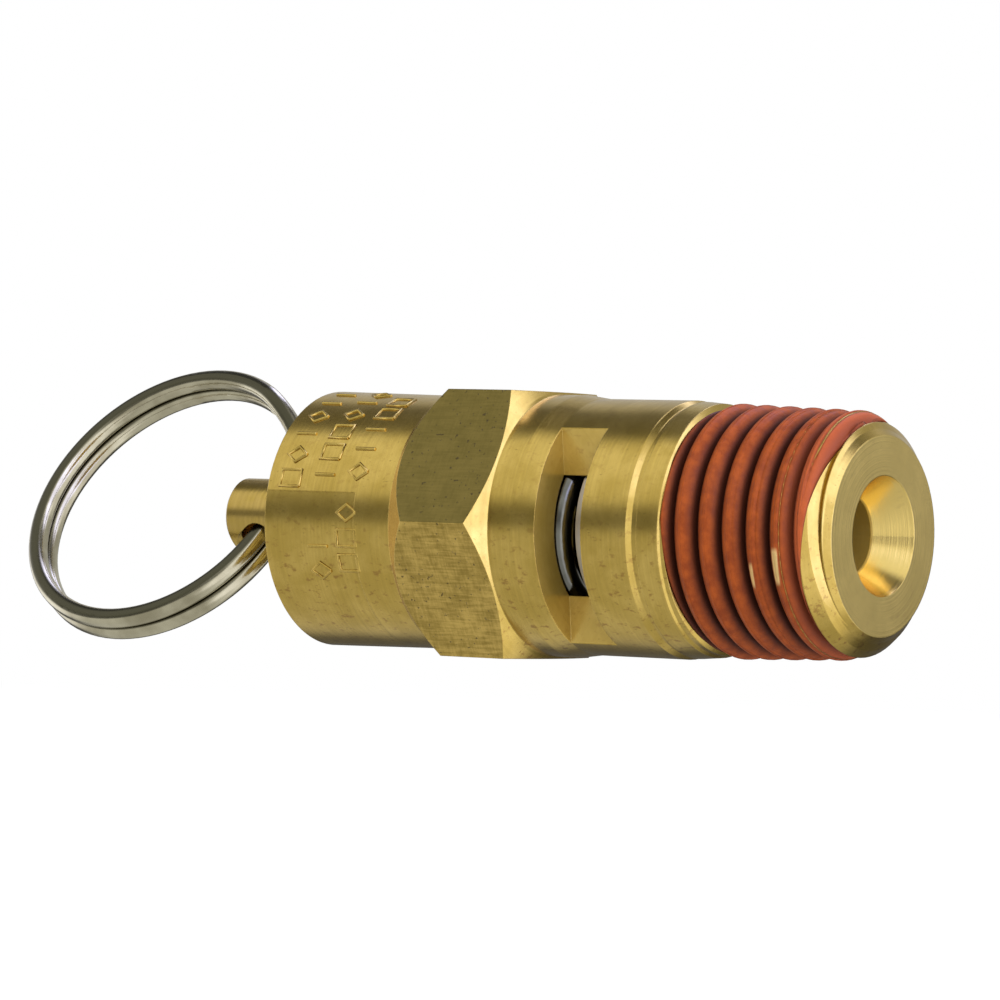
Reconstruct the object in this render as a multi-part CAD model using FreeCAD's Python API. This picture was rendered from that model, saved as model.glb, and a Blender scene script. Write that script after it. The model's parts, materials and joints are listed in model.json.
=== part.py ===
"""Ring-pull pressure relief valve with a 1/4-18 taper pipe thread inlet, in millimetres.

The valve axis is X. The inlet face is at x = 0 and faces +X, and the spring housing runs to -X.
+Z is up, with the valve lying on one flat of its hexagon. Stations are given as distances back
from the inlet face, so a station s is at x = -s.
"""
import math
import os

import FreeCAD
import Part
from FreeCAD import Base

# Inlet thread and its sealant
PITCH = 1.4111
TAPER_HALF_ANGLE = math.degrees(math.atan(1.0 / 32.0))
INLET_FACE_R = 5.24
CREST_R = 6.43
CHAMFER_END = CREST_R - INLET_FACE_R
CHAMFER_BAND_START = 0.32
CHAMFER_BAND_END = 0.6
CHAMFER_BAND_END_R = 5.945
THREAD_END = 9.5
THREAD_RUNOUT = 9.95
THREAD_DEPTH = 0.93
SEALANT_COAT = 0.05
THREAD_PHASE = 0.6
SEALANT_START = 1.05
SEALANT_END = 9.4
SEALANT_START_TILT = 4.5
SEALANT_END_TILT = -5.0
SEALANT_SIDE_START = 0.9
SEALANT_SIDE_TILT = 12.0
SEALANT_WAVE_DEPTH = 0.72
SEALANT_WAVE_HALF_WIDTH = 0.69

# Inlet bore, countersink and seat
INLET_BORE_R = 2.0
COUNTERSINK_R = 3.15
COUNTERSINK_DEPTH = 1.95
CHAMBER_START = 11.6
SEAT_STATION = 12.2
THROAT_START = 10.9
THROAT_R = 2.2
SEAT_OUTER_R = 2.75

# Outside of the body
NECK_START_R = 6.68
NECK_END_R = 6.78
NECK_END = 10.85
NECK_GROOVE_R = 6.62
VENT_START = 11.2
VENT_EDGE = 11.48
VENT_R = 6.84
COLLAR_START = 17.15
COLLAR_FULL = 18.5
COLLAR_R = 7.02
HEX_AF = 14.2875
HEX_START = 19.97
HEX_CORNER_START = 20.7
HEX_CORNER_END = 24.75
HEX_END = 26.5
HOUSING_R = 6.86
HOUSING_END_R = 6.98
BODY_END = 34.66
EDGE_BREAK = 0.06

# Shallow rolled step along the front of the housing
STEP_START = 28.8
STEP_ANGLE = 12.0
STEP_DEPTH = 0.07

# Vent slots
SLOT_START = 14.25
SLOT_FLOOR = 3.75
SLOT_CLOCK = 7.5

# Spring chamber and tapped end
CHAMBER_R = 4.93
TAPPED_START = 28.0
TAPPED_R = 5.4

# Moving valve parts
RUN_CLEARANCE = 0.06
STEM_R = 2.07
HOLDER_TOP = 15.2
DISC_R = 3.4
DISC_THICKNESS = 1.5
SPIGOT_R = 1.4
SCREW_R = 0.8
LOWER_WASHER_TOP = 15.9
STEM_END = 41.1
RING_HOLE_STATION = 38.97
RING_HOLE_R = 1.42

# Spring
WIRE_R = 0.7
COIL_R = 4.1
END_PITCH = 1.42
END_TURNS = 1.0
TOTAL_TURNS = 5.75

# Adjusting screw and its lock ring
ADJUSTER_START = 28.6
ADJUSTER_END = 33.3
LOCK_RING_END = 34.4

# Pull ring: a two-turn split ring
RING_R = 8.31
RING_WIRE_WIDTH = 1.05
RING_WIRE_DEPTH = 1.0
RING_WIRE_CORNER = 0.42
RING_OFFSET = 0.54
RING_TILT = 35.0
RING_SWING = -1.7
RING_SLIP = 0.82
RING_HOLE_SLACK = 0.2
RING_JOG_START = 27.0
RING_JOG_END = 60.0

AXIS = Base.Vector(1, 0, 0)
ORIGIN = Base.Vector(0, 0, 0)


def cylinder(radius, start, end):
    """Solid cylinder on the valve axis between two stations."""
    return Part.makeCylinder(radius, end - start, Base.Vector(-end, 0, 0), AXIS)


def tube(outer, inner, start, end):
    """Ring on the valve axis between two stations."""
    return cylinder(outer, start, end).cut(cylinder(inner, start - 1, end + 1))


def cone(radius_a, radius_b, start, end):
    """Cone on the valve axis, radius_a at the start station and radius_b at the end station."""
    return Part.makeCone(radius_b, radius_a, end - start, Base.Vector(-end, 0, 0), AXIS)


def turned(points):
    """Solid of revolution from (station, radius) points; the ends close onto the axis."""
    outline = [Base.Vector(-s, r, 0) for s, r in points]
    outline.append(Base.Vector(-points[-1][0], 0, 0))
    outline.insert(0, Base.Vector(-points[0][0], 0, 0))
    outline.append(outline[0])
    face = Part.Face(Part.makePolygon(outline))
    return face.revolve(ORIGIN, AXIS, 360)


def crest_radius(station):
    return CREST_R + (station - CHAMFER_END) / 32.0


def helical_groove(profile_edges, start, end):
    """Sweep a groove profile along the taper thread helix between two stations.

    The profile is drawn in the XZ plane, with x across the groove and z outwards from the crest.
    """
    start_r = crest_radius(start)
    helix = Part.makeLongHelix(PITCH, end - start, start_r, TAPER_HALF_ANGLE)
    profile = Part.Wire(profile_edges)
    profile.translate(Base.Vector(start_r, 0, 0))
    shell = Part.Wire(helix.Edges).makePipeShell([profile], True, True)
    shell.rotate(ORIGIN, Base.Vector(0, 1, 0), -90)
    shell.translate(Base.Vector(-start, 0, 0))
    return shell


def thread_cutter():
    """Sixty degree V groove of the taper pipe thread."""
    rise = 0.2
    half = (THREAD_DEPTH + rise) * math.tan(math.radians(30))
    corners = [
        Base.Vector(rise, 0, -half),
        Base.Vector(-THREAD_DEPTH, 0, 0),
        Base.Vector(rise, 0, half),
        Base.Vector(rise, 0, -half),
    ]
    edges = Part.makePolygon(corners).Edges
    return helical_groove(edges, -PITCH - THREAD_PHASE, THREAD_RUNOUT)


def sealant_cutter():
    """Shallow trough left in the sealant, with sides that leave a rounded ridge on each crest."""
    rise = 0.3
    floor_half = 0.05

    def at(depth, across):
        return Base.Vector(SEALANT_COAT - depth, 0, across)

    half = SEALANT_WAVE_HALF_WIDTH
    low, high = at(0, -half), at(0, half)
    floor_low, floor_high = at(SEALANT_WAVE_DEPTH, -floor_half), at(SEALANT_WAVE_DEPTH, floor_half)
    shoulder = SEALANT_WAVE_DEPTH * 0.25
    edges = [
        Part.Arc(low, at(shoulder, -half / 2), floor_low).toShape(),
        Part.makeLine(floor_low, floor_high),
        Part.Arc(floor_high, at(shoulder, half / 2), high).toShape(),
        Part.makeLine(high, at(-rise, half)),
        Part.makeLine(at(-rise, half), at(-rise, -half)),
        Part.makeLine(at(-rise, -half), low),
    ]
    return helical_groove(edges, -PITCH - THREAD_PHASE, THREAD_RUNOUT - 0.1)


def body_outside():
    """Turned outside of the body, before the hexagon, slots and thread are cut."""
    hexagon_r = HEX_AF / math.sqrt(3)
    return turned([
        (0, INLET_FACE_R),
        (CHAMFER_BAND_START, INLET_FACE_R + CHAMFER_BAND_START),
        (CHAMFER_BAND_END, CHAMFER_BAND_END_R),
        (CHAMFER_END, CREST_R),
        (THREAD_END, crest_radius(THREAD_END) - 0.14),
        (THREAD_END + 0.12, NECK_START_R),
        (NECK_END, NECK_END_R),
        (NECK_END + 0.05, NECK_GROOVE_R),
        (VENT_START, NECK_GROOVE_R),
        (VENT_EDGE, VENT_R),
        (COLLAR_START, VENT_R),
        (COLLAR_FULL, COLLAR_R),
        (HEX_START, COLLAR_R),
        (HEX_START + 0.1, HEX_AF / 2 + 0.02),
        (HEX_CORNER_START, hexagon_r),
        (HEX_CORNER_END, hexagon_r),
        (HEX_END, HOUSING_R),
        (BODY_END - EDGE_BREAK, HOUSING_END_R),
        (BODY_END, HOUSING_END_R - EDGE_BREAK),
    ])


def hexagon_stock():
    """Hexagon bar around the spanner flats, with round stock either side of it."""
    corner_r = HEX_AF / math.sqrt(3)
    corners = []
    for index in range(7):
        angle = math.radians(60 * index)
        corners.append(Base.Vector(-HEX_END, corner_r * math.cos(angle), corner_r * math.sin(angle)))
    bar = Part.Face(Part.makePolygon(corners)).extrude(Base.Vector(HEX_END - HEX_START, 0, 0))
    front = cylinder(corner_r + 1, -1, HEX_START)
    back = cylinder(corner_r + 1, HEX_END, BODY_END + 1)
    return bar.fuse([front, back])


def body_hollow():
    """Everything bored out of the body: inlet, seat chamber and the tapped end."""
    inlet = turned([
        (-1, COUNTERSINK_R + (COUNTERSINK_R - INLET_BORE_R) / COUNTERSINK_DEPTH),
        (COUNTERSINK_DEPTH, INLET_BORE_R),
        (THROAT_START, INLET_BORE_R),
        (THROAT_START, THROAT_R),
        (SEAT_STATION + 1, THROAT_R),
    ])
    chamber = cylinder(CHAMBER_R, CHAMBER_START, BODY_END + 1)
    seat_lip = cone(SEAT_OUTER_R, THROAT_R + 0.2, CHAMBER_START, SEAT_STATION)
    tapped = cylinder(TAPPED_R, TAPPED_START, BODY_END + 1)
    mouth = cone(TAPPED_R, TAPPED_R + 0.3, BODY_END - 0.3, BODY_END)
    return chamber.cut(seat_lip).fuse([inlet, tapped, mouth])


def vent_slots():
    """Two flat-bottomed milled slots, one on each side of the body."""
    reach = 5.0
    block = Part.makeBox(COLLAR_START - SLOT_START, reach, 30,
                         Base.Vector(-COLLAR_START, SLOT_FLOOR, -15))
    slots = []
    for side in (0, 180):
        slot = block.copy()
        slot.rotate(ORIGIN, AXIS, side + SLOT_CLOCK)
        slots.append(slot)
    return slots[0].fuse(slots[1])


def housing_step():
    """Sliver rolled off the housing: deepest along the step line, fading out below it."""
    length = BODY_END - STEP_START + 1
    quarter = Part.makeBox(length, 10, 10, Base.Vector(-BODY_END - 1, -10, -10))
    quarter.rotate(ORIGIN, AXIS, -STEP_ANGLE)
    slope = (HOUSING_END_R - HOUSING_R) / (BODY_END - HEX_END)
    start_r = HOUSING_R + slope * (STEP_START - HEX_END)
    end_r = HOUSING_R + slope * (BODY_END + 1 - HEX_END)
    core = cone(start_r, end_r, STEP_START, BODY_END + 1)
    angle = math.radians(STEP_ANGLE)
    core.translate(Base.Vector(0, STEP_DEPTH * math.cos(angle), -STEP_DEPTH * math.sin(angle)))
    return quarter.cut(core)


def valve_body():
    shape = body_outside().common(hexagon_stock())
    shape = shape.cut(body_hollow()).cut(housing_step())
    shape = shape.cut(vent_slots())
    return shape.cut(thread_cutter())


def thread_sealant(body):
    """Paste-like coat over the thread crests that also fills most of each groove."""
    sleeve = turned([
        (0, crest_radius(0) + SEALANT_COAT),
        (THREAD_END - 0.05, crest_radius(THREAD_END) + SEALANT_COAT),
    ])
    sleeve = sleeve.cut(cylinder(CREST_R - THREAD_DEPTH - 0.2, -2, THREAD_END + 1))
    start_waste = Part.makeBox(20, 40, 40, Base.Vector(0, -20, -20))
    start_waste.rotate(ORIGIN, Base.Vector(0, 1, 0), SEALANT_START_TILT)
    start_waste.translate(Base.Vector(-SEALANT_START, 0, 0))
    side_waste = Part.makeBox(20, 40, 40, Base.Vector(0, -20, -20))
    side_waste.rotate(ORIGIN, Base.Vector(0, 0, 1), SEALANT_SIDE_TILT)
    side_waste.translate(Base.Vector(-SEALANT_SIDE_START, 0, 0))
    end_waste = Part.makeBox(20, 40, 40, Base.Vector(-20, -20, -20))
    end_waste.rotate(ORIGIN, Base.Vector(0, 1, 0), SEALANT_END_TILT)
    end_waste.translate(Base.Vector(-SEALANT_END, 0, 0))
    sleeve = sleeve.cut(start_waste).cut(side_waste).cut(end_waste)
    return sleeve.cut(sealant_cutter()).cut(body)


def disc_holder():
    """Brass holder guided in the chamber, with four flats that let the fluid past."""
    base = SEAT_STATION + 0.15
    outer = CHAMBER_R - 0.08
    holder = turned([
        (base, outer - 0.3),
        (base + 0.3, outer),
        (HOLDER_TOP - 0.3, outer),
        (HOLDER_TOP, outer - 0.3),
    ])
    across = 8.0
    block = Part.makeBox(10, across, across, Base.Vector(-HOLDER_TOP - 3, -across / 2, -across / 2))
    holder = holder.common(block)
    holder = holder.cut(cylinder(DISC_R, SEAT_STATION - 1, SEAT_STATION + DISC_THICKNESS))
    return holder.cut(cylinder(SPIGOT_R, SEAT_STATION, HOLDER_TOP + 1))


def seat_disc():
    return tube(DISC_R, SCREW_R, SEAT_STATION, SEAT_STATION + DISC_THICKNESS)


def disc_washer():
    return tube(1.7, SCREW_R, SEAT_STATION - 0.4, SEAT_STATION)


def disc_screw():
    """Slotted cheese-head screw that clamps the seat disc against its holder."""
    head_start = SEAT_STATION - 1.1
    head = turned([
        (head_start, 1.15),
        (head_start + 0.12, 1.3),
        (SEAT_STATION - 0.4, 1.3),
    ])
    shank = cylinder(SCREW_R, SEAT_STATION - 0.4, 17.0)
    slot = Part.makeBox(0.35, 0.4, 4, Base.Vector(-head_start - 0.35, -0.2, -2))
    return head.fuse(shank).cut(slot)


def stem():
    """Pull rod: spigot into the holder, plain shank, and a cross hole for the pull ring."""
    spigot_start = SEAT_STATION + DISC_THICKNESS
    rod = turned([
        (spigot_start, SPIGOT_R),
        (HOLDER_TOP, SPIGOT_R),
        (HOLDER_TOP, STEM_R),
        (STEM_END - 0.18, STEM_R),
        (STEM_END, STEM_R - 0.18),
    ])
    rod = rod.cut(cylinder(SCREW_R, spigot_start - 1, 17.3))
    hole = Part.makeCylinder(RING_HOLE_R, 10, Base.Vector(-RING_HOLE_STATION, 0, -5))
    mouth_depth = 0.25
    mouth_z = math.sqrt(STEM_R ** 2 - RING_HOLE_R ** 2) + mouth_depth
    flare = Part.makeCone(RING_HOLE_R - mouth_depth, RING_HOLE_R + 0.4, mouth_depth + 0.4,
                          Base.Vector(-RING_HOLE_STATION, 0, mouth_z - mouth_depth))
    flare_low = flare.mirror(ORIGIN, Base.Vector(0, 0, 1))
    drill = hole.fuse([flare, flare_low])
    drill.rotate(ORIGIN, AXIS, -RING_TILT)
    return rod.cut(drill)


def lower_spring_washer():
    return tube(4.8, STEM_R + RUN_CLEARANCE, HOLDER_TOP, LOWER_WASHER_TOP)


def upper_spring_washer():
    return tube(4.8, STEM_R + RUN_CLEARANCE, TAPPED_START, ADJUSTER_START)


def spring_height(turn):
    """Height of the wire centre above the lower washer at a given turn."""
    length = TAPPED_START - LOWER_WASHER_TOP
    end_rise = END_PITCH * END_TURNS
    active = length - 2 * WIRE_R - 2 * end_rise
    middle_turns = TOTAL_TURNS - 2 * END_TURNS
    if turn <= END_TURNS:
        return WIRE_R + END_PITCH * turn
    if turn >= TOTAL_TURNS - END_TURNS:
        return length - WIRE_R - END_PITCH * (TOTAL_TURNS - turn)
    return WIRE_R + end_rise + active * (turn - END_TURNS) / middle_turns


def spring():
    """Compression spring with one closed turn at each end."""
    steps = 12
    points = []
    for index in range(int(TOTAL_TURNS * steps) + 1):
        turn = index / steps
        angle = 2 * math.pi * turn
        station = LOWER_WASHER_TOP + spring_height(turn)
        points.append(Base.Vector(-station, COIL_R * math.cos(angle), COIL_R * math.sin(angle)))
    curve = Part.BSplineCurve()
    curve.interpolate(points)
    path = Part.Wire(curve.toShape())
    section = Part.Wire(Part.makeCircle(WIRE_R, points[0], curve.tangent(curve.FirstParameter)[0]))
    return path.makePipeShell([section], True, True)


def adjusting_screw():
    """Hollow plug that sets the spring load, slotted across its outer face."""
    plug = turned([
        (ADJUSTER_START, TAPPED_R - 0.3),
        (ADJUSTER_START + 0.3, TAPPED_R),
        (ADJUSTER_END, TAPPED_R),
    ])
    plug = plug.cut(cylinder(STEM_R + RUN_CLEARANCE, ADJUSTER_START - 1, ADJUSTER_END + 1))
    slot = Part.makeBox(1.2, 20, 1.6, Base.Vector(-ADJUSTER_END, -10, -0.8))
    return plug.cut(slot)


def lock_ring():
    """Threaded ring that jams the adjusting screw, with two spanner notches."""
    ring = tube(TAPPED_R, 3.4, ADJUSTER_END, LOCK_RING_END)
    notch = Part.makeBox(0.6, 1.4, 20, Base.Vector(-LOCK_RING_END, -0.7, -10))
    return ring.cut(notch)


def ring_section(angle, offset):
    """Rounded-square outline of the ring wire at an angle round the ring, in the ring's own frame.

    The ring's own frame has its centre at the origin and its axis along Y.
    """
    half_w = RING_WIRE_WIDTH / 2
    half_d = RING_WIRE_DEPTH / 2
    low = -half_d + RING_WIRE_CORNER
    high = half_d - RING_WIRE_CORNER
    left = -half_w + RING_WIRE_CORNER
    right = half_w - RING_WIRE_CORNER
    bulge = RING_WIRE_CORNER * math.sqrt(0.5)

    def at(depth, width):
        return Base.Vector(RING_R + depth, offset + width, 0)

    edges = [
        Part.makeLine(at(-half_d, left), at(-half_d, right)),
        Part.Arc(at(-half_d, right), at(low - bulge, right + bulge), at(low, half_w)).toShape(),
        Part.makeLine(at(low, half_w), at(high, half_w)),
        Part.Arc(at(high, half_w), at(high + bulge, right + bulge), at(half_d, right)).toShape(),
        Part.makeLine(at(half_d, right), at(half_d, left)),
        Part.Arc(at(half_d, left), at(high + bulge, left - bulge), at(high, -half_w)).toShape(),
        Part.makeLine(at(high, -half_w), at(low, -half_w)),
        Part.Arc(at(low, -half_w), at(low - bulge, left - bulge), at(-half_d, left)).toShape(),
    ]
    wire = Part.Wire(edges)
    wire.rotate(ORIGIN, Base.Vector(0, -1, 0), angle)
    return wire


def ring_turn(offset):
    """One flat turn of the ring, open across the jog."""
    face = Part.Face(ring_section(RING_JOG_END, offset))
    return face.revolve(ORIGIN, Base.Vector(0, -1, 0), 360 - (RING_JOG_END - RING_JOG_START))


def ring_jog():
    """Short length of wire that crosses from one turn to the other."""
    steps = 8
    sections = []
    for index in range(steps + 1):
        part = index / steps
        blend = part * part * (3 - 2 * part)
        angle = RING_JOG_START + part * (RING_JOG_END - RING_JOG_START)
        sections.append(ring_section(angle, RING_OFFSET - 2 * RING_OFFSET * blend))
    return Part.makeLoft(sections, True)


def pull_ring():
    ring = ring_turn(RING_OFFSET).fuse([ring_turn(-RING_OFFSET), ring_jog()])
    ring.translate(Base.Vector(-RING_HOLE_STATION - RING_R + RING_HOLE_SLACK, 0, RING_SLIP))
    ring.rotate(Base.Vector(-RING_HOLE_STATION, 0, 0), Base.Vector(0, 0, 1), RING_SWING)
    ring.rotate(ORIGIN, AXIS, -RING_TILT)
    return ring


def main():
    os.makedirs("parts", exist_ok=True)
    body = valve_body()
    nodes = {
        "valve_body": body,
        "thread_sealant": thread_sealant(body),
        "disc_holder": disc_holder(),
        "seat_disc": seat_disc(),
        "disc_washer": disc_washer(),
        "disc_screw": disc_screw(),
        "stem": stem(),
        "lower_spring_washer": lower_spring_washer(),
        "spring": spring(),
        "upper_spring_washer": upper_spring_washer(),
        "adjusting_screw": adjusting_screw(),
        "lock_ring": lock_ring(),
        "pull_ring": pull_ring(),
    }
    for name, shape in nodes.items():
        shape.exportStep("parts/" + name + ".step")
        print(name, len(shape.Solids), round(shape.Volume, 3), shape.isValid())


main()
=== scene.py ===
"""Looks of the ring-pull pressure relief valve: materials, small surface details, light and camera.

The frame is the valve's own: +X points out of the inlet along the axis, +Z is up. Sizes named here are in
millimetres and degrees, apart from the lights and the lens, and Blender gets them in metres.
"""
import json
import math

import bpy
from mathutils import Matrix, Vector


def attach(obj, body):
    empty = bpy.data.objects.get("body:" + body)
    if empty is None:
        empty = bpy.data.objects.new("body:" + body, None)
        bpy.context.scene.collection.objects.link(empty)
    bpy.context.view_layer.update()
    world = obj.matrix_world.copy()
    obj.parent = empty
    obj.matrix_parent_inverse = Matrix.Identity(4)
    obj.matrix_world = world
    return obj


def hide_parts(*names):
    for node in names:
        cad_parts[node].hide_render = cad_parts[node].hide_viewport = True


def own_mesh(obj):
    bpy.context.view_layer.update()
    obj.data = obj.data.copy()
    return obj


MM = 0.001

# Camera: a 200 mm lens 300 mm from the valve, level with it
CAMERA_AZIMUTH = 34.37
CAMERA_ROLL = 1.73
CAMERA_DISTANCE = 300 * MM
CAMERA_TARGET = Vector((-24.02, 0, 1.28)) * MM
CAMERA_LENS = 200
CAMERA_SENSOR = 36
CAMERA_NEAR = 0.01
CAMERA_FAR = 20

# Area lights: name, place, size and power, in metres and watts
AREA_LIGHTS = [
    ("key", (0.2, -0.5, 0.6), (1.1, 0.8), 6.5),
    ("fill", (0.6, -0.3, 0.2), (0.5, 0.4), 2.2),
    ("back", (-0.2, 0.6, 0.6), (1.1, 0.7), 5.0),
]

# Studio seen in reflections: angle about the valve's axis (0 is the front, 90 is overhead) and brightness
STUDIO_STOPS = [
    (-180, 0.12), (-136, 0.12), (-120, 0.62), (-6, 0.66), (1, 0.22), (14, 0.25),
    (26, 0.9), (78, 1.0), (90, 0.16), (122, 0.16), (136, 0.55), (180, 0.55),
]
STUDIO_WARMTH = 0.98
END_GLOW = (1.3, 1.3, 1.4, 1)
PATCH_GLOW = (2.4, 2.5, 4.2, 1)
WHITE = (1, 1, 1, 1)

# Floor: its height, its edge in metres, and the distances between which it fades to white
FLOOR_Z = -18.0
FLOOR_SIZE = 6
FLOOR_FADE_START = 60
FLOOR_FADE_END = 260
FLOOR_LEAST_GLOW = 0.5
FLOOR_TONES = ((0.9, 0.9, 0.895, 1), (0.94, 0.94, 0.935, 1))

# The valve: radii about its axis and stations measured back from the inlet face
BORE_R = 2.0
COUNTERSINK_R = 3.15
COUNTERSINK_DEPTH = 1.95
CHAMFER_END = 1.19
CREST_R = 6.43
THREAD_TAPER = 1 / 32
SLOT_START = 14.25
SLOT_END = 17.15
VENT_R = 6.84
HEX_START = 19.97
HEX_END = 26.5
INSIDE_FLATS_R = 7.03
HOUSING_R = 6.86
HOUSING_GROWTH = 0.0147
STEP_ANGLE = 12
STEP_DEPTH = 0.07
RING_TILT = 35.0

# Rows of small marks rolled into the housing: station, lowest and highest angle about the axis
MARK_ROWS = [(33.2, 18, 82), (31.0, 20, 80), (28.9, 22, 76), (31.2, -24, -2), (29.3, -20, 4)]
MARK_ORDER = ["square", "dash", "diamond", "dash", "dash", "square", "diamond"]
MARK_STEP = 11.5
MARK_WIRE = 0.1
MARK_HALF_LENGTH = 0.62
MARK_HALF_WIDTH = 0.46

BRASS_LIGHT = (0.70, 0.50, 0.13, 1)
BRASS_MID = (0.56, 0.39, 0.085, 1)
BRASS_DARK = (0.26, 0.18, 0.04, 1)
BRASS_SHADED = (0.24, 0.155, 0.022, 1)
BRASS_TARNISH = (0.34, 0.19, 0.05, 1)
# Painted highlights on the inlet face and in its countersink
INLET_FACE_HIGHLIGHT = (0.57, 0.455, 0.17, 1)
COUNTERSINK_HIGHLIGHT = (0.92, 0.70, 0.24, 1)
FLAT_LIGHT = (0.68, 0.48, 0.13, 1)
FLAT_DARK = (0.34, 0.235, 0.05, 1)
# Painted shade laid on the hexagon flats that face up
FLAT_UP_FACING_SHADE = (0.15, 0.12, 0.032, 1)
PIT_COLOR = (0.08, 0.06, 0.03, 1)
STEM_LIGHT = (0.6, 0.42, 0.12, 1)

SEALANT_LIGHT = (0.25, 0.049, 0.005, 1)
SEALANT_MID = (0.165, 0.029, 0.003, 1)
# Painted shade in the sealant's thread grooves
SEALANT_GROOVE_SHADE = (0.030, 0.007, 0.003, 1)
SEALANT_NEAR_INLET = (0.42, 0.09, 0.03, 1)
SEALANT_WORN = (0.85, 0.62, 0.25, 1)

# Spring steel kept dark as painted shade for the chamber it sits in; its clouds are the steel's own tone
SPRING_SHADED_PALE = (0.24, 0.24, 0.21, 1)
SPRING_SHADED_DEEP = (0.08, 0.08, 0.07, 1)
FASTENER_LIGHT = (0.55, 0.53, 0.5, 1)
FASTENER_DARK = (0.4, 0.38, 0.35, 1)
RING_EDGE_LIGHT = (0.60, 0.56, 0.40, 1)
RING_EDGE_DARK = (0.38, 0.345, 0.23, 1)
# Painted shade on the ring's flat sides
RING_SIDE_SHADE = (0.085, 0.08, 0.05, 1)
RUBBER_LIGHT = (0.05, 0.048, 0.045, 1)
RUBBER_DARK = (0.012, 0.012, 0.012, 1)


class Nodes:
    """Short way to build a node tree: most calls add a node and return its output."""

    def __init__(self, tree):
        self.tree = tree
        tree.nodes.clear()

    def add(self, kind, **settings):
        """New node with its settings. Returns the node itself."""
        node = self.tree.nodes.new(kind)
        for key, value in settings.items():
            setattr(node, key, value)
        return node

    def link(self, source, target):
        self.tree.links.new(source, target)

    def put(self, socket, value):
        """Give an input a fixed value, or link it to another node's output."""
        if isinstance(value, bpy.types.NodeSocket):
            self.link(value, socket)
        else:
            socket.default_value = value

    def math(self, operation, a, b=0.0, clamp=False):
        node = self.add("ShaderNodeMath", operation=operation, use_clamp=clamp)
        self.put(node.inputs[0], a)
        self.put(node.inputs[1], b)
        return node.outputs[0]

    def product(self, first, *others):
        for other in others:
            first = self.math("MULTIPLY", first, other)
        return first

    def blend(self, first, *others):
        """Sum of the values, each given with its weight as (value, weight)."""
        total = self.math("MULTIPLY", *first)
        for other in others:
            total = self.math("ADD", total, self.math("MULTIPLY", *other))
        return total

    def smooth(self, value, low, high):
        """0 below low, 1 above high and a soft step between them."""
        node = self.add("ShaderNodeMapRange", interpolation_type="SMOOTHSTEP")
        self.put(node.inputs["Value"], value)
        node.inputs["From Min"].default_value = low
        node.inputs["From Max"].default_value = high
        return node.outputs[0]

    def band(self, value, low, high, soft):
        """1 where value is between low and high, with edges of width soft."""
        rise = self.smooth(value, low - soft, low + soft)
        fall = self.smooth(value, high - soft, high + soft)
        return self.math("SUBTRACT", rise, fall, clamp=True)

    def remap(self, value, low, high, to_low, to_high):
        """Straight-line change from low..high to to_low..to_high, held at the ends."""
        node = self.add("ShaderNodeMapRange")
        self.put(node.inputs["Value"], value)
        node.inputs["From Min"].default_value = low
        node.inputs["From Max"].default_value = high
        node.inputs["To Min"].default_value = to_low
        node.inputs["To Max"].default_value = to_high
        return node.outputs[0]

    def mix(self, factor, a, b):
        """Colour that goes from a to b as factor goes from 0 to 1."""
        node = self.add("ShaderNodeMix", data_type="RGBA")
        self.put(node.inputs["Factor"], factor)
        self.put(node.inputs[6], a)
        self.put(node.inputs[7], b)
        return node.outputs[2]

    def mix_value(self, factor, a, b):
        """Number that goes from a to b as factor goes from 0 to 1."""
        node = self.add("ShaderNodeMix", data_type="FLOAT")
        self.put(node.inputs["Factor"], factor)
        self.put(node.inputs[2], a)
        self.put(node.inputs[3], b)
        return node.outputs[0]

    def coordinate(self, kind):
        return self.add("ShaderNodeTexCoord").outputs[kind]

    def position_mm(self):
        """Position on the part, in millimetres, in the valve's frame."""
        scale = self.add("ShaderNodeVectorMath", operation="SCALE")
        self.link(self.coordinate("Object"), scale.inputs[0])
        scale.inputs["Scale"].default_value = 1 / MM
        return scale.outputs[0]

    def split(self, vector):
        """The three components of a vector."""
        node = self.add("ShaderNodeSeparateXYZ")
        self.link(vector, node.inputs[0])
        return node.outputs

    def stretch(self, vector, x, y, z):
        node = self.add("ShaderNodeVectorMath", operation="MULTIPLY")
        self.put(node.inputs[0], vector)
        node.inputs[1].default_value = (x, y, z)
        return node.outputs[0]

    def radius(self, parts):
        """Distance from the valve's axis."""
        squares = self.math("ADD", self.math("POWER", parts[1], 2.0), self.math("POWER", parts[2], 2.0))
        return self.math("SQRT", squares)

    def noise(self, vector, scale, detail=3.0, roughness=0.5):
        node = self.add("ShaderNodeTexNoise")
        self.put(node.inputs["Vector"], vector)
        node.inputs["Scale"].default_value = scale
        node.inputs["Detail"].default_value = detail
        node.inputs["Roughness"].default_value = roughness
        return node.outputs[0]

    def line_noise(self, along, scale):
        """Noise that changes only with one number, for turned lines."""
        node = self.add("ShaderNodeTexNoise", noise_dimensions="1D")
        self.put(node.inputs["W"], along)
        node.inputs["Scale"].default_value = scale
        node.inputs["Detail"].default_value = 4.0
        node.inputs["Roughness"].default_value = 0.65
        return node.outputs[0]

    def rounded(self, radius_mm):
        """Normal that softens sharp edges over a small radius."""
        node = self.add("ShaderNodeBevel", samples=6)
        node.inputs["Radius"].default_value = radius_mm * MM
        return node.outputs[0]

    def bump(self, height, strength, distance_mm, normal=None):
        """Normal bent by a height, on top of another normal if one is given."""
        node = self.add("ShaderNodeBump")
        node.inputs["Strength"].default_value = strength
        node.inputs["Distance"].default_value = distance_mm * MM
        self.put(node.inputs["Height"], height)
        if normal is not None:
            self.link(normal, node.inputs["Normal"])
        return node.outputs[0]

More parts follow.
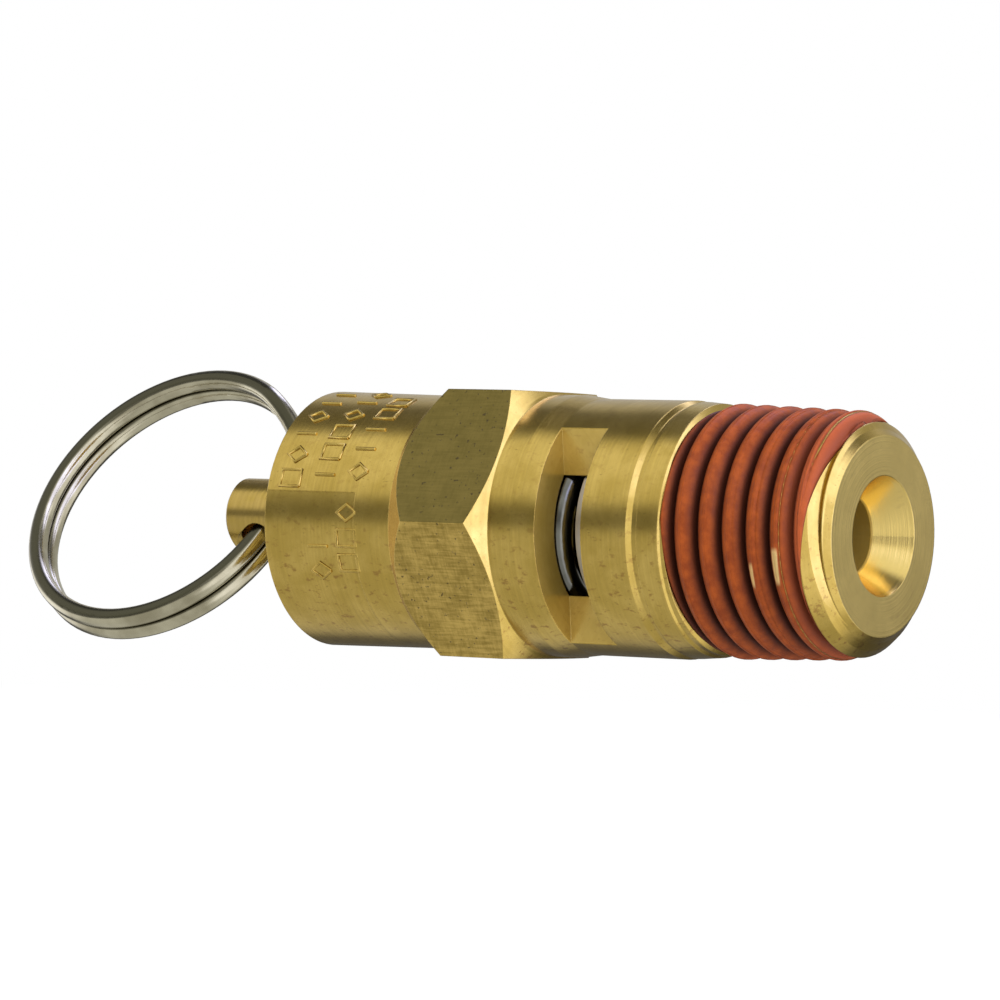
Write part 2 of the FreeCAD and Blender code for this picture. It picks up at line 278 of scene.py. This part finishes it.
    def choose(self, factor, shader_a, shader_b):
        """Shader that goes from the first to the second as factor goes from 0 to 1."""
        node = self.add("ShaderNodeMixShader")
        self.put(node.inputs[0], factor)
        self.link(shader_a, node.inputs[1])
        self.link(shader_b, node.inputs[2])
        return node.outputs[0]

    def finish(self, shader, output="ShaderNodeOutputMaterial"):
        self.link(shader, self.add(output).inputs[0])

    def surface(self, color, roughness, normal, metallic=1.0, **extra):
        """Finish the material with one principled shader; every value may be a number or a node output."""
        shader = self.add("ShaderNodeBsdfPrincipled")
        self.put(shader.inputs["Base Color"], color)
        self.put(shader.inputs["Roughness"], roughness)
        self.put(shader.inputs["Normal"], normal)
        self.put(shader.inputs["Metallic"], metallic)
        for key, value in extra.items():
            self.put(shader.inputs[key.replace("_", " ")], value)
        self.finish(shader.outputs[0])


def new_material(name):
    material = bpy.data.materials.new(name)
    material.use_nodes = True
    return material, Nodes(material.node_tree)


def add_to_scene(thing):
    bpy.context.scene.collection.objects.link(thing)


# Brass


def hexagon_flats(n, parts, radius, normal):
    """1 on the flats of the hexagon, 0 on its chamfers and everywhere else."""
    in_hexagon = n.band(parts[0], -HEX_END + 0.1, -HEX_START - 0.1, 0.02)
    sideways = n.math("LESS_THAN", n.math("ABSOLUTE", normal[0]), 0.08)
    outside = n.math("GREATER_THAN", radius, INSIDE_FLATS_R)
    return n.product(in_hexagon, sideways, outside)


def milled_slots(n, parts, radius):
    """1 inside the two vent slots."""
    in_slot = n.band(parts[0], -SLOT_END - 0.03, -SLOT_START + 0.03, 0.01)
    return n.product(in_slot, n.math("LESS_THAN", radius, VENT_R - 0.03))


def turned_lines(n, place, parts, radius):
    """Fine lines of the lathe tool round the bar, a little uneven."""
    lines = n.line_noise(n.math("ADD", parts[0], radius), 5.0)
    wobble = n.noise(n.stretch(place, 6, 0.6, 0.6), 1.0, 4)
    return n.blend((lines, 0.6), (wobble, 0.4))


def drawn_scratches(n, place):
    """Scratches along and across the bar, and cloudy patches, as on bar that was drawn and handled."""
    scratches = n.noise(n.stretch(place, 0.6, 7, 7), 1.0, 6, 0.7)
    cross_scratches = n.noise(n.stretch(place, 8, 1.2, 1.2), 1.0, 5, 0.7)
    patches = n.noise(place, 0.9, 4, 0.6)
    return n.blend((scratches, 0.4), (cross_scratches, 0.25), (patches, 0.35))


def turned_color(n, place, turned, normal):
    """Stained brass with dark tool lines and specks, and tarnish that is stronger underneath."""
    stain = n.noise(place, 0.45, 4, 0.6)
    color = n.mix(n.smooth(stain, 0.35, 0.7), BRASS_MID, BRASS_LIGHT)
    color = n.mix(n.remap(turned, 0.3, 0.7, 0.25, 0), color, BRASS_DARK)
    specks = n.smooth(n.noise(n.stretch(place, 3, 5, 5), 1.3, 3, 0.6), 0.66, 0.72)
    color = n.mix(n.product(specks, 0.55), color, BRASS_DARK)
    tarnish = n.smooth(n.noise(n.stretch(place, 1.5, 2.5, 2.5), 1.1, 4, 0.65), 0.56, 0.68)
    underneath = n.remap(normal[2], 0.2, -0.5, 0.2, 0.8)
    return n.mix(n.product(tarnish, underneath), color, BRASS_TARNISH)


def flat_color(n, drawn, pits, normal):
    """Scratched brass with dark pits, and painted shade on the flats that face up."""
    color = n.mix(n.smooth(drawn, 0.38, 0.62), FLAT_DARK, FLAT_LIGHT)
    # Painted shade: flats that face up are darkened
    color = n.mix(n.remap(normal[2], -0.3, 0.4, 0.0, 0.86), color, FLAT_UP_FACING_SHADE)
    return n.mix(n.product(pits, 0.75), color, PIT_COLOR)


def inner_shade(n, milled, bored, facing_inlet):
    """How much the slots and the bore are darkened; the slot wall that faces the inlet is darkest."""
    shade = n.blend((milled, 0.35), (bored, 0.6))
    slot_wall = n.product(milled, facing_inlet)
    return n.math("ADD", shade, n.product(slot_wall, 0.25), clamp=True)


def paint_inlet_highlight(n, color, parts, radius, facing_inlet):
    """Painted highlight: lighter brass on the inlet face and in its countersink."""
    at_inlet = n.math("GREATER_THAN", parts[0], -0.2)
    end_face = n.product(facing_inlet, at_inlet)
    color = n.mix(n.product(end_face, 0.55), color, INLET_FACE_HIGHLIGHT)
    near_inlet = n.math("GREATER_THAN", parts[0], -COUNTERSINK_DEPTH)
    on_cone = n.band(radius, BORE_R + 0.05, COUNTERSINK_R - 0.02, 0.01)
    in_countersink = n.product(near_inlet, on_cone)
    return n.mix(n.product(in_countersink, 0.7), color, COUNTERSINK_HIGHLIGHT)


def body_brass():
    """Turned brass, with drawn-bar texture on the spanner flats."""
    material, n = new_material("body_brass")
    place = n.position_mm()
    parts = n.split(place)
    radius = n.radius(parts)
    normal = n.split(n.add("ShaderNodeNewGeometry").outputs["Normal"])
    facing_inlet = n.smooth(normal[0], 0.9, 0.97)

    flat = hexagon_flats(n, parts, radius, normal)
    milled = milled_slots(n, parts, radius)
    bored = n.math("LESS_THAN", radius, BORE_R + 0.05)
    turned = turned_lines(n, place, parts, radius)
    drawn = drawn_scratches(n, place)
    pits = n.smooth(n.noise(place, 4.2, 2), 0.66, 0.72)

    color = n.mix(flat, turned_color(n, place, turned, normal), flat_color(n, drawn, pits, normal))
    color = n.mix(inner_shade(n, milled, bored, facing_inlet), color, BRASS_SHADED)
    # Painted highlight on the inlet face and in the countersink
    color = paint_inlet_highlight(n, color, parts, radius, facing_inlet)
    rough = n.mix_value(flat, n.remap(turned, 0.3, 0.7, 0.26, 0.17), n.remap(drawn, 0.3, 0.7, 0.42, 0.34))
    dents = n.math("SUBTRACT", drawn, n.product(pits, 1.4))
    bumped = n.bump(n.mix_value(flat, turned, dents), 0.4, 0.02, n.rounded(0.07))
    inside = n.math("MAXIMUM", milled, bored)
    n.surface(color, rough, bumped, metallic=n.remap(inside, 0, 1, 1.0, 0.55))
    return material


def turned_brass(name, light, line_scale, depth):
    """Plain turned brass for the stem and the pieces inside."""
    material, n = new_material(name)
    place = n.position_mm()
    parts = n.split(place)
    lines = n.line_noise(parts[0], line_scale)
    rings = n.line_noise(n.radius(parts), line_scale)
    both = n.product(n.math("ADD", lines, rings), 0.5)
    color = n.mix(n.smooth(n.noise(place, 0.9, 4), 0.35, 0.7), light, BRASS_MID)
    color = n.mix(n.remap(both, 0.35, 0.65, 0.4, 0), color, BRASS_DARK)
    n.surface(color, n.remap(both, 0.35, 0.65, 0.3, 0.16), n.bump(both, 0.6, depth, n.rounded(0.05)))
    return material


# Sealant, steel and rubber


def worn_patch(n, station, parts, start, end, low, high):
    """1 on a small patch of the front, between two stations and two heights."""
    across = n.band(station, start, end, 0.06)
    along = n.band(parts[2], low, high, 0.25)
    front = n.math("LESS_THAN", parts[1], 0.0)
    return n.product(across, along, front)


def sealant_material():
    """Dried red thread paste with painted shade in the grooves, worn through to brass in two places."""
    material, n = new_material("sealant")
    place = n.position_mm()
    parts = n.split(place)
    station = n.product(parts[0], -1.0)
    crest = n.math("ADD", n.product(n.math("SUBTRACT", station, CHAMFER_END), THREAD_TAPER), CREST_R)
    depth = n.math("SUBTRACT", n.radius(parts), crest)
    mottled = n.noise(place, 1.6, 5, 0.6)
    grain = n.noise(place, 9.0, 3)
    near_inlet = n.smooth(parts[0], -2.8, -1.2)

    red = n.mix(n.smooth(mottled, 0.3, 0.7), SEALANT_MID, SEALANT_LIGHT)
    # Painted shade: darker where the paste dips into the grooves
    red = n.mix(n.smooth(depth, -0.45, 0.02), SEALANT_GROOVE_SHADE, red)
    red = n.mix(n.product(near_inlet, 0.4), red, SEALANT_NEAR_INLET)
    first_patch = worn_patch(n, station, parts, 2.5, 3.0, -2.5, -0.9)
    second_patch = worn_patch(n, station, parts, 4.0, 4.35, -2.7, -1.7)
    on_crest = n.smooth(depth, -0.16, -0.02)
    worn = n.product(n.math("ADD", first_patch, second_patch, clamp=True), on_crest)
    red = n.mix(worn, red, SEALANT_WORN)
    bumped = n.bump(n.blend((mottled, 0.6), (grain, 0.4)), 0.5, 0.06, n.rounded(0.12))
    rough = n.remap(mottled, 0.3, 0.7, 0.42, 0.58)
    n.surface(red, rough, bumped, metallic=worn, Specular_IOR_Level=0.14)
    return material


def bright_steel(name, light, dark, roughness, scratch_scale):
    """Drawn or plated steel with faint scratches and cloudy colour."""
    material, n = new_material(name)
    place = n.position_mm()
    clouds = n.noise(place, 0.35, 3)
    scratches = n.noise(place, scratch_scale, 5, 0.7)
    color = n.mix(n.smooth(clouds, 0.3, 0.75), light, dark)
    rough = n.remap(scratches, 0.3, 0.7, roughness * 1.4, roughness)
    n.surface(color, rough, n.bump(scratches, 0.12, 0.003))
    return material


def ring_material():
    """Nickel plated split ring: painted shade darkens the flat sides, which are also a little rougher, and
    the edges stay bright.
    """
    material, n = new_material("ring_steel")
    place = n.position_mm()
    normal = n.split(n.coordinate("Normal"))
    tilt = math.radians(RING_TILT)
    along_axis = n.blend((normal[1], -math.cos(tilt)), (normal[2], math.sin(tilt)))
    side = n.smooth(n.math("ABSOLUTE", along_axis), 0.72, 0.93)
    clouds = n.noise(place, 0.5, 3)
    scratches = n.noise(place, 8.0, 5, 0.7)
    edge = n.mix(n.smooth(clouds, 0.3, 0.7), RING_EDGE_LIGHT, RING_EDGE_DARK)
    rough = n.math("ADD", n.remap(scratches, 0.3, 0.7, 0.24, 0.16), n.product(side, 0.1))
    # Painted shade: the flat sides are darkened
    n.surface(n.mix(side, edge, RING_SIDE_SHADE), rough, n.bump(scratches, 0.12, 0.003))
    return material


def rubber_material():
    """Matt black rubber with a fine grain."""
    material, n = new_material("seat_rubber")
    grain = n.noise(n.position_mm(), 7.0, 5)
    rough = n.remap(grain, 0.3, 0.7, 0.75, 0.55)
    n.surface(n.mix(grain, RUBBER_DARK, RUBBER_LIGHT), rough, n.bump(grain, 0.5, 0.02), metallic=0.0)
    return material


def make_materials():
    """The materials by the record's slot names."""
    return {
        "body_brass": body_brass(),
        "inner_brass": turned_brass("inner_brass", BRASS_LIGHT, 4.0, 0.02),
        "stem_brass": turned_brass("stem_brass", STEM_LIGHT, 3.2, 0.05),
        "sealant": sealant_material(),
        "seat_rubber": rubber_material(),
        "spring_steel": bright_steel("spring_steel", SPRING_SHADED_PALE, SPRING_SHADED_DEEP, 0.16, 14.0),
        "fastener_steel": bright_steel("fastener_steel", FASTENER_LIGHT, FASTENER_DARK, 0.28, 9.0),
        "ring_steel": ring_material(),
    }


def dress(frame, materials):
    """Put each slot's material on the nodes that use it."""
    for entry in frame["record"]["subparts"]:
        node = frame["nodes"][entry["node"]]
        for slot in node.material_slots:
            slot.material = materials[entry["material_slot"]]


# Pieces


def spring_piece(frame, materials):
    """Copy of the spring with its own mesh, hung on the valve body."""
    source = frame["nodes"]["spring"]
    piece = source.copy()
    piece.data = source.data.copy()
    piece.name = "spring_coil"
    add_to_scene(piece)
    piece.parent = None
    piece.matrix_world = Matrix.Identity(4)
    piece.data.materials.clear()
    piece.data.materials.append(materials["spring_steel"])
    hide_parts("spring")
    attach(piece, "valve_body")
    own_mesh(piece)


def housing_radius(station, angle):
    """Outside radius of the housing, which is slightly less below its rolled step."""
    radius = HOUSING_R + (station - HEX_END) * HOUSING_GROWTH
    if angle < STEP_ANGLE:
        radius -= STEP_DEPTH * math.cos(math.radians(angle - STEP_ANGLE))
    return radius


def on_housing(station, angle):
    """Point on the housing, in metres; angle 0 is the front and 90 is the top."""
    radius = housing_radius(station, angle)
    turn = math.radians(angle)
    return Vector((-station, -radius * math.cos(turn), radius * math.sin(turn))) * MM


def mark_outline(kind, station, angle):
    """Points of one small mark, as (station, angle) pairs."""
    half = MARK_HALF_LENGTH
    wide = math.degrees(MARK_HALF_WIDTH / HOUSING_R)
    shapes = {
        "dash": [(-half, 0), (half, 0)],
        "diamond": [(-half, 0), (0, wide), (half, 0), (0, -wide), (-half, 0)],
        "square": [(-half, -wide), (half, -wide), (half, wide), (-half, wide), (-half, -wide)],
    }
    return [(station + s, angle + a) for s, a in shapes[kind]]


def add_mark(data, outline):
    """One line of round wire through the points of an outline."""
    spline = data.splines.new("POLY")
    spline.points.add(len(outline) - 1)
    for point, (station, angle) in zip(spline.points, outline):
        point.co = (*on_housing(station, angle), 1)


def mark_curve():
    """Curve data with every mark of every row."""
    data = bpy.data.curves.new("roll_marks", "CURVE")
    data.dimensions = "3D"
    data.bevel_depth = MARK_WIRE * MM
    data.bevel_resolution = 2
    data.use_fill_caps = True
    for row, (station, low, high) in enumerate(MARK_ROWS):
        count = int((high - low) / MARK_STEP) + 1
        for index in range(count):
            kind = MARK_ORDER[(index * 2 + row * 3) % len(MARK_ORDER)]
            add_mark(data, mark_outline(kind, station, low + index * MARK_STEP))
    return data


def roll_marks(materials):
    """Plain raised marks where a maker would roll its lettering into the housing."""
    curve = bpy.data.objects.new("roll_marks_curve", mark_curve())
    add_to_scene(curve)
    bpy.context.view_layer.update()
    mesh = bpy.data.meshes.new_from_object(curve)
    bpy.data.objects.remove(curve)
    marks = bpy.data.objects.new("roll_marks", mesh)
    add_to_scene(marks)
    mesh.materials.clear()
    mesh.materials.append(materials["body_brass"])
    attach(marks, "valve_body")


# Stage, light and camera


def floor():
    """Pale floor, low enough for the ring to hang down at any turn of the stem."""
    bpy.ops.mesh.primitive_plane_add(size=FLOOR_SIZE, location=(0, 0, FLOOR_Z * MM))
    plane = bpy.context.object
    plane.name = "floor"
    material, n = new_material("floor")
    place = n.position_mm()
    paint = n.add("ShaderNodeBsdfDiffuse")
    n.link(n.mix(n.noise(place, 0.02, 2), *FLOOR_TONES), paint.inputs[0])
    glow = n.add("ShaderNodeEmission")
    distance = n.add("ShaderNodeVectorMath", operation="LENGTH")
    n.link(place, distance.inputs[0])
    fade = n.smooth(distance.outputs["Value"], FLOOR_FADE_START, FLOOR_FADE_END)
    fade = n.math("MAXIMUM", fade, FLOOR_LEAST_GLOW)
    n.finish(n.choose(fade, paint.outputs[0], glow.outputs[0]))
    plane.data.materials.append(material)
    plane.visible_glossy = False


def studio_ring(n, angle):
    """Bands of light and dark round the valve's axis."""
    ramp = n.add("ShaderNodeValToRGB")
    n.link(n.remap(angle, -math.pi, math.pi, 0, 1), ramp.inputs[0])
    elements = ramp.color_ramp.elements
    while len(elements) < len(STUDIO_STOPS):
        elements.new(0.5)
    for element, (degrees, level) in zip(elements, STUDIO_STOPS):
        element.position = (degrees + 180) / 360
        element.color = (level, level, level * STUDIO_WARMTH, 1)
    return ramp.outputs[0]


def studio_patches(n, parts, angle):
    """How much of the bluish patch light is seen: overhead, beyond the inlet and high beyond it."""
    overhead = n.product(n.band(parts[0], -0.3, 0.05, 0.05),
                         n.band(n.product(angle, 180 / math.pi), 94, 140, 4))
    side = n.product(n.smooth(parts[0], 0.86, 0.93), 0.8)
    high_side = n.product(n.smooth(parts[0], 0.5, 0.6), n.smooth(parts[2], 0.35, 0.5))
    side = n.math("MAXIMUM", side, n.product(high_side, 0.7))
    return n.math("MAXIMUM", overhead, side)


def studio_world():
    """Soft white studio: bands of light and dark seen only in reflections, white to the camera."""
    world = bpy.data.worlds.new("studio")
    bpy.context.scene.world = world
    world.use_nodes = True
    n = Nodes(world.node_tree)
    parts = n.split(n.coordinate("Generated"))
    angle = n.math("ARCTAN2", parts[2], n.product(parts[1], -1.0))
    ends = n.math("ADD", n.smooth(parts[0], 0.45, 0.66), n.smooth(parts[0], -0.8, -0.95), clamp=True)
    light = n.mix(ends, studio_ring(n, angle), END_GLOW)
    light = n.mix(studio_patches(n, parts, angle), light, PATCH_GLOW)
    glow = n.add("ShaderNodeBackground")
    n.link(light, glow.inputs[0])
    white = n.add("ShaderNodeBackground")
    white.inputs[0].default_value = WHITE
    seen_directly = n.add("ShaderNodeLightPath").outputs["Is Camera Ray"]
    n.finish(n.choose(seen_directly, glow.outputs[0], white.outputs[0]), "ShaderNodeOutputWorld")


def area_light(name, place, size, power):
    """Rectangular light aimed at the valve and left out of reflections."""
    data = bpy.data.lights.new(name, "AREA")
    data.shape = "RECTANGLE"
    data.size = size[0]
    data.size_y = size[1]
    data.energy = power
    light = bpy.data.objects.new(name, data)
    add_to_scene(light)
    light.location = place
    light.visible_glossy = False
    aim = CAMERA_TARGET - Vector(place)
    light.rotation_euler = aim.to_track_quat("-Z", "Y").to_euler()


def camera():
    """Level camera to the right of the valve's front, rolled slightly about its line of sight."""
    azimuth = math.radians(CAMERA_AZIMUTH)
    roll = math.radians(CAMERA_ROLL)
    back = Vector((math.sin(azimuth), -math.cos(azimuth), 0))
    right = Vector((math.cos(azimuth), math.sin(azimuth), 0))
    up = Vector((0, 0, 1))
    tilted_right = right * math.cos(roll) + up * math.sin(roll)
    tilted_up = up * math.cos(roll) - right * math.sin(roll)
    data = bpy.data.cameras.new("camera")
    data.lens = CAMERA_LENS
    data.sensor_width = CAMERA_SENSOR
    data.clip_start = CAMERA_NEAR
    data.clip_end = CAMERA_FAR
    eye = bpy.data.objects.new("camera", data)
    add_to_scene(eye)
    turn = Matrix((tilted_right, tilted_up, back)).transposed().to_4x4()
    eye.matrix_world = Matrix.Translation(CAMERA_TARGET + back * CAMERA_DISTANCE) @ turn
    bpy.context.scene.camera = eye


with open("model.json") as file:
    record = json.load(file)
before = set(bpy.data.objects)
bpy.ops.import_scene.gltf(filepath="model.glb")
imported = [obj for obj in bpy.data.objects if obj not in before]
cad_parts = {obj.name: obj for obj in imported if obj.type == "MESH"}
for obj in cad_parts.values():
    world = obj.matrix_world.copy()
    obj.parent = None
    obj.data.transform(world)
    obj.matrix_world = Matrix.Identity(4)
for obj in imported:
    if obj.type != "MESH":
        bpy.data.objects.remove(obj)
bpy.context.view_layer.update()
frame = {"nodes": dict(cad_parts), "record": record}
slots = make_materials()
dress(frame, slots)
spring_piece(frame, slots)
roll_marks(slots)
floor()
studio_world()
for light in AREA_LIGHTS:
    area_light(*light)
camera()
bpy.context.scene.view_settings.view_transform = "Standard"
